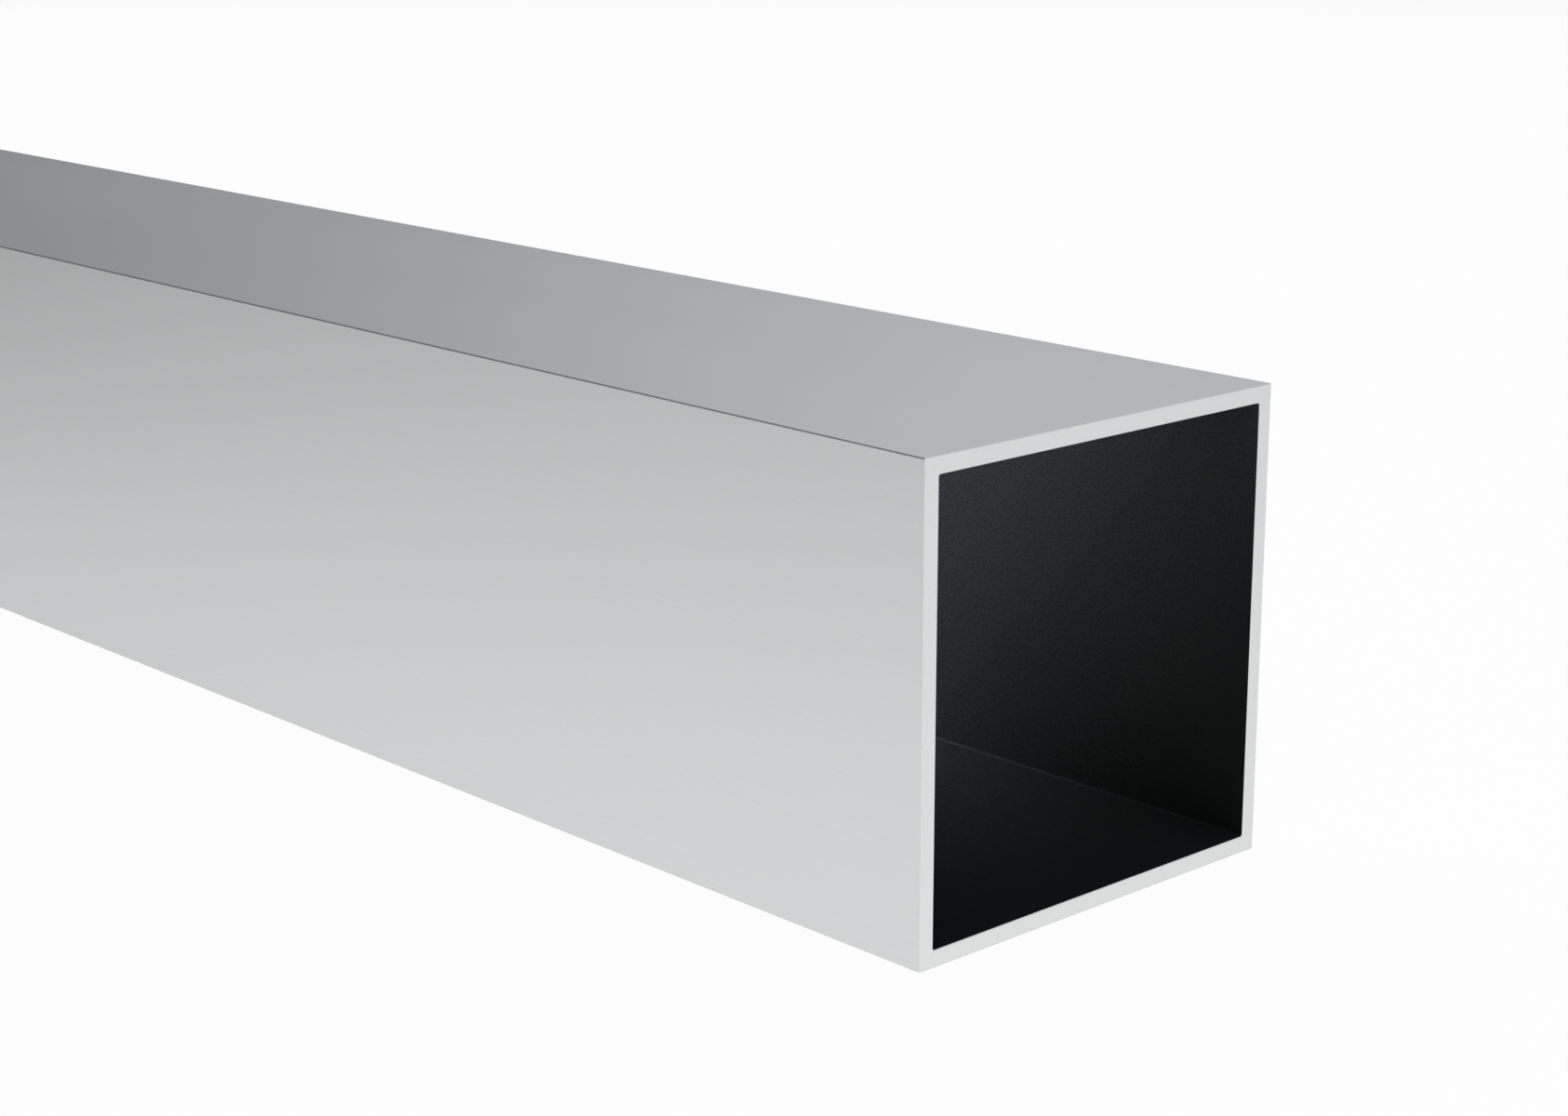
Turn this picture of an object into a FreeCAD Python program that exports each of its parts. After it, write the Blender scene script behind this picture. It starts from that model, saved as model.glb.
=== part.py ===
# Square aluminium tube: one hollow section, extruded in one piece and sawn square at both ends.
# It lies on one flat side, with its length along X. The origin is the middle of the face it lies on.
import FreeCAD
import Part
import Sketcher
import math
import os

# Driving dimensions, in millimetres.
SIZES = [
    ("side_width", 40.0),  # outside of the square section, both ways
    ("wall_thickness", 1.5),  # the same on all four sides
    ("tube_length", 1000.0),  # one stock length
    ("outer_radius", 0.15),  # on the four long outside corners
    ("inner_radius", 0.15),  # in the four long corners of the bore
    ("end_break", 0.1),  # burr taken off the sawn edges, outside and in the bore
]

NODE = "square_tube"
ON_PLANE = 1e-4  # how far from a sawn end an edge may be and still lie in it
START, END = 1, 2  # the two ends of a line or arc in a sketch
ACROSS = -1  # a sketch's own horizontal axis, whose start is the sketch's origin


def size_sheet(doc):
    """The sheet that holds every driving dimension, each under its own name."""
    sheet = doc.addObject("Spreadsheet::Sheet", "Sizes")
    for row, (name, value) in enumerate(SIZES, start=1):
        sheet.set(f"A{row}", name)
        sheet.set(f"B{row}", str(value))
        sheet.setAlias(f"B{row}", name)
    doc.recompute()
    return sheet


def origin_plane(body, role):
    """One of the body's three origin planes."""
    return next(f for f in body.Origin.OriginFeatures if f.Role == role)


def corner_arc(centre, radius, quarter):
    """A quarter circle. Quarter 0 turns from straight down to straight right, and so on round."""
    circle = Part.Circle(centre, FreeCAD.Vector(0, 0, 1), radius)
    return Part.ArcOfCircle(circle, (quarter - 1) * math.pi / 2, quarter * math.pi / 2)


def rounded_square(sketch, name, side, radius, foot, drawn):
    """A square with round corners, centred across the sketch, with its lower side at height foot.

    side, radius and foot are formulas on the size sheet. drawn holds the same three as numbers, which
    place the lines close enough for the formulas to settle them.
    """
    width, corner, low = drawn
    half = width / 2
    near = half - corner
    mid = low + half
    along = [(1, 0), (0, 1), (-1, 0), (0, -1)]  # bottom, right, top and left run this way
    outward = [(0, -1), (1, 0), (0, 1), (-1, 0)]

    first = sketch.GeometryCount
    for (ax, ay), (ox, oy) in zip(along, outward):
        start = FreeCAD.Vector(ox * half - ax * near, mid + oy * half - ay * near, 0)
        end = FreeCAD.Vector(ox * half + ax * near, mid + oy * half + ay * near, 0)
        sketch.addGeometry(Part.LineSegment(start, end), False)
    for quarter, (ax, ay) in enumerate(along):
        ox, oy = outward[quarter]
        centre = FreeCAD.Vector((ox + ax) * near, mid + (oy + ay) * near, 0)
        sketch.addGeometry(corner_arc(centre, corner, quarter), False)

    bottom, right, top, left = range(first, first + 4)
    arcs = list(range(first + 4, first + 8))
    sides = [bottom, right, top, left]
    for turn, arc in enumerate(arcs):
        sketch.addConstraint(Sketcher.Constraint("Tangent", sides[turn], END, arc, START))
        sketch.addConstraint(Sketcher.Constraint("Tangent", arc, END, sides[(turn + 1) % 4], START))
    for line in (bottom, top):
        sketch.addConstraint(Sketcher.Constraint("Horizontal", line))
    for line in (right, left):
        sketch.addConstraint(Sketcher.Constraint("Vertical", line))
    for arc in arcs[1:]:
        sketch.addConstraint(Sketcher.Constraint("Equal", arcs[0], arc))

    measured = [
        ("Radius", Sketcher.Constraint("Radius", arcs[0], corner), radius),
        ("Width", Sketcher.Constraint("DistanceX", left, START, right, START, width), side),
        ("Height", Sketcher.Constraint("DistanceY", bottom, START, top, START, width), side),
        ("Half", Sketcher.Constraint("DistanceX", left, START, ACROSS, START, half), f"({side}) / 2"),
    ]
    if foot is None:
        sketch.addConstraint(Sketcher.Constraint("PointOnObject", bottom, START, ACROSS))
    else:
        level = Sketcher.Constraint("DistanceY", ACROSS, START, bottom, START, low)
        measured.append(("Foot", level, foot))
    for what, constraint, formula in measured:
        index = sketch.addConstraint(constraint)
        sketch.renameConstraint(index, name + what)
        sketch.setExpression(f"Constraints.{name}{what}", formula)


def section_sketch(body, sheet):
    """The tube's cross-section: the outside square and, a wall inside it, the bore."""
    sketch = body.newObject("Sketcher::SketchObject", "Section")
    sketch.AttachmentSupport = [(origin_plane(body, "YZ_Plane"), "")]
    sketch.MapMode = "FlatFace"
    side, wall = sheet.side_width, sheet.wall_thickness
    rounded_square(
        sketch, "Outside", "Sizes.side_width", "Sizes.outer_radius", None,
        (side, sheet.outer_radius, 0.0),
    )
    rounded_square(
        sketch, "Bore", "Sizes.side_width - 2 * Sizes.wall_thickness", "Sizes.inner_radius",
        "Sizes.wall_thickness", (side - 2 * wall, sheet.inner_radius, wall),
    )
    return sketch


def sawn_edges(shape, half_length):
    """Names of the edges that lie in the two sawn ends."""
    names = []
    for number, edge in enumerate(shape.Edges, start=1):
        box = edge.BoundBox
        flat = box.XLength < ON_PLANE
        if flat and abs(abs(box.XMin) - half_length) < ON_PLANE:
            names.append(f"Edge{number}")
    return names


def square_tube(doc, sheet):
    """The whole tube, from its section, length and the broken edges of its ends."""
    body = doc.addObject("PartDesign::Body", "SquareTube")
    body.Label = NODE
    section = section_sketch(body, sheet)

    extrusion = body.newObject("PartDesign::Pad", "Extrusion")
    extrusion.Profile = section
    extrusion.SideType = "Symmetric"
    extrusion.setExpression("Length", "Sizes.tube_length")
    section.Visibility = False
    doc.recompute()

    deburr = body.newObject("PartDesign::Chamfer", "DeburredEnds")
    deburr.Base = (extrusion, sawn_edges(extrusion.Shape, sheet.tube_length / 2))
    deburr.setExpression("Size", "Sizes.end_break")
    body.Tip = deburr
    doc.recompute()
    return body


def check(doc, bodies):
    """Stops before anything is written if a feature failed or a body isn't one sound solid."""
    for item in doc.Objects:
        if "Invalid" in item.State or "Error" in item.State:
            raise RuntimeError(f"{item.Label} failed: {item.State}")
    for body in bodies:
        shape = body.Shape
        if shape.isNull() or not shape.isValid() or len(shape.Solids) != 1:
            raise RuntimeError(f"{body.Label} is not one sound solid")


def write_parts(bodies):
    os.makedirs("parts", exist_ok=True)
    for body in bodies:
        body.Shape.exportStep(f"parts/{body.Label}.step")
        box = body.Shape.BoundBox
        print(
            f"{body.Label}: {box.XLength:.2f} x {box.YLength:.2f} x {box.ZLength:.2f} mm,",
            f"{body.Shape.Volume / 1000:.2f} cm3, {len(body.Shape.Faces)} faces",
        )


def main():
    doc = FreeCAD.newDocument("SquareTube")
    sheet = size_sheet(doc)
    bodies = [square_tube(doc, sheet)]
    check(doc, bodies)
    write_parts(bodies)


main()
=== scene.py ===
# Square aluminium tube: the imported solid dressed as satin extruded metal, on a white studio floor.
import math

import bmesh
import bpy
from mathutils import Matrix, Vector


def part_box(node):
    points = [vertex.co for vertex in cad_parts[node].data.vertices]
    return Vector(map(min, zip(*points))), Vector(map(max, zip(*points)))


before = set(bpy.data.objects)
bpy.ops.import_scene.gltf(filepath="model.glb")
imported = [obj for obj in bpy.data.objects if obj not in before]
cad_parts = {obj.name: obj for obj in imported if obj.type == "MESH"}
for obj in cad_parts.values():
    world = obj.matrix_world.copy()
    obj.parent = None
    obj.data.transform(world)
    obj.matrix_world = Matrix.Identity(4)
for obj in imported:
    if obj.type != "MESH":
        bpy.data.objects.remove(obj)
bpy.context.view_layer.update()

tube = {
    "node": "square_tube",
    "wall": 0.0015,  # metres, as every size here
    "endBreak": 0.0001,
}
tubeLow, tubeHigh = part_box(tube["node"])
tubeLength = tubeHigh.x - tubeLow.x
tubeSide = tubeHigh.z - tubeLow.z
print("frame loaded:", round(tubeLength, 4), "long,", round(tubeSide, 4), "square")


class Wire:  # one output of a shader tree, so that plain sums add their Math nodes
    def __init__(self, tree, socket=None):
        self.tree = tree
        self.socket = socket

    def add(self, kind, inputs=None, output=0, stops=None, **settings):  # any node, settings first
        node = self.tree.nodes.new("ShaderNode" + kind)
        for name, value in settings.items():
            setattr(node, name, value)
        if stops:
            node.color_ramp.interpolation = "B_SPLINE"
            while len(node.color_ramp.elements) < len(stops):
                node.color_ramp.elements.new(1.0)
            for element, (place, value) in zip(node.color_ramp.elements, stops):
                element.position = place
                element.color = (value, value, value, 1)
        for name, value in (inputs or {}).items():
            if isinstance(value, Wire):
                self.tree.links.new(value.socket, node.inputs[name])
            else:
                node.inputs[name].default_value = value
        return Wire(self.tree, node.outputs[output]) if node.outputs else node

    def maths(self, operation, first, second=0.0):
        return self.add("Math", {0: first, 1: second}, operation=operation)

    def __add__(self, other):
        return self.maths("ADD", self, other)

    def __radd__(self, other):
        return self.maths("ADD", other, self)

    def __sub__(self, other):
        return self.maths("SUBTRACT", self, other)

    def __rsub__(self, other):
        return self.maths("SUBTRACT", other, self)

    def __mul__(self, other):
        return self.maths("MULTIPLY", self, other)

    def __rmul__(self, other):
        return self.maths("MULTIPLY", other, self)

    def __truediv__(self, other):
        return self.maths("DIVIDE", self, other)

    def __rtruediv__(self, other):
        return self.maths("DIVIDE", other, self)

    def __lt__(self, other):
        return self.maths("LESS_THAN", self, other)

    def __gt__(self, other):
        return self.maths("GREATER_THAN", self, other)

    def __abs__(self):
        return self.maths("ABSOLUTE", self)

    def axis(self, letter):  # one coordinate of a place or direction
        return self.add("SeparateXYZ", {"Vector": self}, output=letter)

    def ramp(self, start, end, low=0.0, high=1.0):  # smooth, from low at start to high at end
        values = {"Value": self, "From Min": start, "From Max": end, "To Min": low, "To Max": high}
        return self.add("MapRange", values, interpolation_type="SMOOTHSTEP")


def newTree(holder):
    holder.use_nodes = True
    holder.node_tree.nodes.clear()
    return Wire(holder.node_tree)


# Camera, where the photograph was taken from: measured from the foot of the seen end.
photoView = {
    "lens": 69.8,  # mm, for a frame of this width
    "frameWidth": 36.0,
    "clipFrom": 0.01,
    "clipTo": 200.0,
    "azimuth": 47.04,  # degrees round from looking along +Y
    "elevation": 14.8,
    "sidesAway": (3.7483, -4.3402, 2.2296),  # in tube sides
}


def placeCamera(view):
    camera = bpy.data.objects.new("camera", bpy.data.cameras.new("camera"))
    camera.data.sensor_width = view["frameWidth"]
    camera.data.lens = view["lens"]
    camera.data.clip_start = view["clipFrom"]
    camera.data.clip_end = view["clipTo"]
    seenEnd = Vector((tubeHigh.x, (tubeLow.y + tubeHigh.y) / 2, tubeLow.z))
    camera.location = seenEnd + Vector(view["sidesAway"]) * tubeSide
    turn = math.radians(view["azimuth"])
    drop = math.radians(view["elevation"])
    level = math.cos(drop)
    ahead = Vector((-math.sin(turn) * level, math.cos(turn) * level, -math.sin(drop)))
    camera.rotation_mode = "QUATERNION"
    camera.rotation_quaternion = ahead.to_track_quat("-Z", "Y")
    bpy.context.scene.collection.objects.link(camera)
    bpy.context.scene.camera = camera


# Studio: a floor with a painted pool of light, white round the seen end and fading to pale beyond, and
# a soft room, bright on one side.
floorSweep = {
    "radius": 60.0,
    "sides": 64,
    "colour": (0.9, 0.9, 0.9, 1),
    "pale": 0.62,  # what the white fades to
    "seenWhite": 0.95,  # share seen plain where it is white: the rest is lit and takes the shadow
    "seenPale": 0.55,  # the same where it is pale
    "fadeTowards": 241.0,  # degrees round from +X, the way that it fades soonest
    "fadeFrom": -0.16,  # metres that way from the tube's middle
    "fadeTo": 0.1,
    "middle": (0.4, 0.0, 0.0),  # of the painted pool of light, which also fades all round this point
    "roundFrom": 0.69,
    "roundTo": 2.2,
}


def layFloor(look):
    mesh = bmesh.new()
    bmesh.ops.create_circle(mesh, cap_ends=True, segments=look["sides"], radius=look["radius"])
    data = bpy.data.meshes.new("floor")
    mesh.to_mesh(data)
    mesh.free()
    floor = bpy.data.objects.new("floor", data)
    bpy.context.scene.collection.objects.link(floor)

    material = bpy.data.materials.new("whiteFloor")
    start = newTree(material)
    place = start.add("TexCoord", output="Object")
    turn = math.radians(look["fadeTowards"])
    way = (math.cos(turn), math.sin(turn), 0)
    out = start.add("VectorMath", {0: place, 1: way}, output="Value", operation="DOT_PRODUCT")
    away = start.add("VectorMath", {0: place, 1: look["middle"]}, output="Value", operation="DISTANCE")
    # the painted pool of light: white near the seen end, fading to pale away from it
    white = out.ramp(look["fadeFrom"], look["fadeTo"], 1.0, 0.0)
    white = white * away.ramp(look["roundFrom"], look["roundTo"], 1.0, 0.0)
    level = look["pale"] + white * (1 - look["pale"])
    plain = start.add("Emission", {"Color": (1, 1, 1, 1), "Strength": level})
    lit = start.add("BsdfDiffuse", {"Color": look["colour"]})
    seen = start.add("LightPath", output="Is Camera Ray")
    mirrored = start.add("LightPath", output="Is Glossy Ray")
    through = start.add("LightPath", output="Is Transmission Ray")
    seenPlain = look["seenPale"] + white * (look["seenWhite"] - look["seenPale"])
    share = seen * seenPlain + mirrored + through
    mixed = start.add("MixShader", {0: share, 1: lit, 2: plain})
    start.add("OutputMaterial", {"Surface": mixed})
    data.materials.append(material)


room = {
    "lightTowards": 49.7,  # degrees round from +X to the middle of the room's bright side
    "lift": 20.6,  # degrees up to it
    # light from the side opposite that middle, 0, up to the middle itself, 1
    "levels": [(0.0, 0.145), (0.3, 0.145), (0.45, 0.029), (0.6, 1.19), (0.8, 1.24), (1.0, 0.16)],
    "horizon": 0.26,  # what is left of that light at the horizon
    "fullAt": 0.242,  # sine of the height from which all of it is left
    "tint": (0.985, 1.0, 1.015),
}


def lightRoom(look):
    world = bpy.data.worlds.new("studio")
    start = newTree(world)
    direction = start.add("TexCoord", output="Generated")
    turn = math.radians(look["lightTowards"])
    lift = math.radians(look["lift"])
    way = (math.cos(turn) * math.cos(lift), math.sin(turn) * math.cos(lift), math.sin(lift))
    lean = start.add("VectorMath", {0: direction, 1: way}, output="Value", operation="DOT_PRODUCT")
    level = start.add("ValToRGB", {0: lean * 0.5 + 0.5}, stops=look["levels"])  # lean is -1 to 1
    level = level * direction.axis("Z").ramp(0.0, look["fullAt"], look["horizon"], 1.0)
    air = start.add("Background", {"Color": (*look["tint"], 1), "Strength": level})
    start.add("OutputWorld", {"Surface": air})
    bpy.context.scene.world = world


softLamps = {
    "overhead": {"place": (0.3, 0.4, 2.6), "aim": (0.2, 0.0, 0.0), "width": 2.4, "watts": 8.0},
    "front": {"place": (0.9, -1.4, 1.8), "aim": (0.4, 0.0, 0.0), "width": 1.6, "watts": 8.0},
}


def hangLamps(lamps):
    for name, lamp in lamps.items():
        data = bpy.data.lights.new(name, "AREA")
        data.shape = "SQUARE"
        data.size = lamp["width"]
        data.energy = lamp["watts"]
        light = bpy.data.objects.new(name, data)
        light.location = lamp["place"]
        beam = Vector(lamp["aim"]) - Vector(lamp["place"])
        light.rotation_mode = "QUATERNION"
        light.rotation_quaternion = beam.to_track_quat("-Z", "Y")
        bpy.context.scene.collection.objects.link(light)


# Metal. Patterns run in the tube's own coordinates: X along it, the origin under its middle.
noiseMiddle = 0.5  # of what a Noise node gives

satinMetal = {  # the outside, as it left the die
    "colour": (0.739, 0.746, 0.751, 1),
    "roughness": 0.412,
    "edgeTint": 0.425,  # how much of the shine is left where the metal is seen at a low angle
    "lineSize": 0.0004,  # die lines: straight along the tube, and close beside each other
    "lineShade": 0.03,
    "lineDepth": 0.0000004,
    "cloudSize": (0.05, 0.014, 0.014),  # faint cloudy patches from handling
    "cloudShade": 0.02,
    "cloudDull": 0.012,
    "grainSize": (0.00025, 0.00014, 0.00014),
    "grainShade": 0.04,
}


def mottle(place, size):  # soft patches of the size given, from about -0.5 to 0.5
    spread = place.add("VectorMath", {0: place, 1: tuple(1 / s for s in size)}, operation="MULTIPLY")
    values = {"Vector": spread, "Scale": 1.0, "Detail": 0.0}
    return place.add("TexNoise", values, output="Fac") - noiseMiddle


def dieLines(place, size):
    across = place.add("CombineXYZ", {"X": place.axis("Y"), "Y": place.axis("Z")})
    values = {"Vector": across, "Scale": 1 / size, "Detail": 1.0}
    return place.add("TexNoise", values, output="Fac", noise_dimensions="2D") - noiseMiddle


sawnMetal = {  # the two ends
    "colour": (0.87, 0.877, 0.879, 1),
    "roughness": 0.567,
    "bladeMiddle": (0.0, 0.09, -0.11),  # the marks are arcs round this point
    "markPitch": 0.0003,
    "markShade": 0.04,
    "markDepth": 0.0000015,
}


def sawMarks(place, look):
    flat = place.add("VectorMath", {0: place, 1: (0, 1, 1)}, operation="MULTIPLY")
    ends = {0: flat, 1: look["bladeMiddle"]}
    reach = place.add("VectorMath", ends, output="Value", operation="DISTANCE")
    values = {"W": reach / look["markPitch"], "Scale": 1.0, "Detail": 1.0}
    return place.add("TexNoise", values, output="Fac", noise_dimensions="1D") - noiseMiddle


boreMetal = {  # the inside is painted shade: darkest low at the mouths, paler higher up and further in
    "colour": (0.895, 0.926, 0.955, 1),
    "paintedShade": (0.015, 0.016, 0.017, 1),
    "roughness": 0.8,
    # share of unshaded metal from the mouth, 0, to where the painted shade ends, 1
    "clear": [(0.0, 0.002), (0.25, 0.037), (0.5, 0.23), (0.75, 0.65), (1.0, 1.0)],
    "shadeEndsAt": 0.06,  # where the painted shade ends, low in the bore
    "slant": 0.46,  # each millimetre higher up counts as this much further in
    "cornerShare": 1.5,  # how much more unshaded metal shows in the four corners: a painted highlight line along each
    "cornerWidth": 0.00017,
    "grainShade": 0.8,
}


# Painted shade in the bore: the share of plain metal colour rises from the mouth inwards and upwards,
# and the corners get a painted highlight.
def unshadedShare(depth, height, nearCorner, grain, look):
    run = (depth + height * look["slant"]) / look["shadeEndsAt"]
    share = run.add("ValToRGB", {0: run}, stops=look["clear"])
    # a painted highlight line along each of the four inner corners
    share = share * (1 + nearCorner * (look["cornerShare"] - 1))
    return share * (1 + grain * look["grainShade"])


# A Mix node takes two colours at its sockets 6 and 7, and gives one at its output 2.
def blend(share, first, second):
    return share.add("Mix", {0: share, 6: first, 7: second}, output=2, data_type="RGBA")


def metalFinish(satin, sawn, bore):
    material = bpy.data.materials.new("satinAluminium")
    start = newTree(material)
    place = start.add("TexCoord", output="Object")
    height = place.axis("Z")
    over = abs(place.axis("Y"))  # sideways from the tube's middle line, and up or down from it
    up = abs(height - tubeSide / 2)
    depth = tubeLength / 2 - abs(place.axis("X"))  # from the nearer end
    onEnd = depth < tube["endBreak"] / 2
    midWall = tubeSide / 2 - tube["wall"] / 2
    inBore = (start.maths("MAXIMUM", over, up) < midWall) * (1 - onEnd)
    boreEdge = tubeSide / 2 - tube["wall"] - bore["cornerWidth"]
    nearCorner = start.maths("MINIMUM", over, up) > boreEdge

    lines = dieLines(place, satin["lineSize"])
    clouds = mottle(place, satin["cloudSize"])
    grain = mottle(place, satin["grainSize"])
    marks = sawMarks(place, sawn)
    unshaded = unshadedShare(depth, height, nearCorner, grain, bore)
    # in the bore, the colour is painted shade near the mouths, blending to plain metal further in
    colour = blend(inBore, satin["colour"], blend(unshaded, bore["paintedShade"], bore["colour"]))
    colour = blend(onEnd, colour, sawn["colour"])
    shade = 1 + lines * satin["lineShade"] + clouds * satin["cloudShade"] + grain * satin["grainShade"]
    shade = shade + onEnd * (1 + marks * sawn["markShade"] - shade)
    colour = start.add("VectorMath", {0: colour, "Scale": shade}, operation="SCALE")

    roughness = satin["roughness"] + clouds * satin["cloudDull"]
    roughness = roughness + inBore * (bore["roughness"] - roughness)
    roughness = roughness + onEnd * (sawn["roughness"] - roughness)
    relief = lines * satin["lineDepth"] * (1 - onEnd) + marks * sawn["markDepth"] * onEnd
    tint = (satin["edgeTint"],) * 3 + (1,)
    skin = {
        "Base Color": colour,
        "Roughness": roughness,
        "Metallic": 1.0,
        "Specular Tint": tint,
        "Normal": start.add("Bump", {"Height": relief, "Distance": 1.0}),
    }
    start.add("OutputMaterial", {"Surface": start.add("BsdfPrincipled", skin)})
    return material


def dressTube():
    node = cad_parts[tube["node"]]
    node.data.materials.clear()
    node.data.materials.append(metalFinish(satinMetal, sawnMetal, boreMetal))


placeCamera(photoView)
print("camera placed")
layFloor(floorSweep)
lightRoom(room)
hangLamps(softLamps)
print("studio lit")
dressTube()
print("tube dressed")

bpy.context.scene.view_settings.view_transform = "Standard"
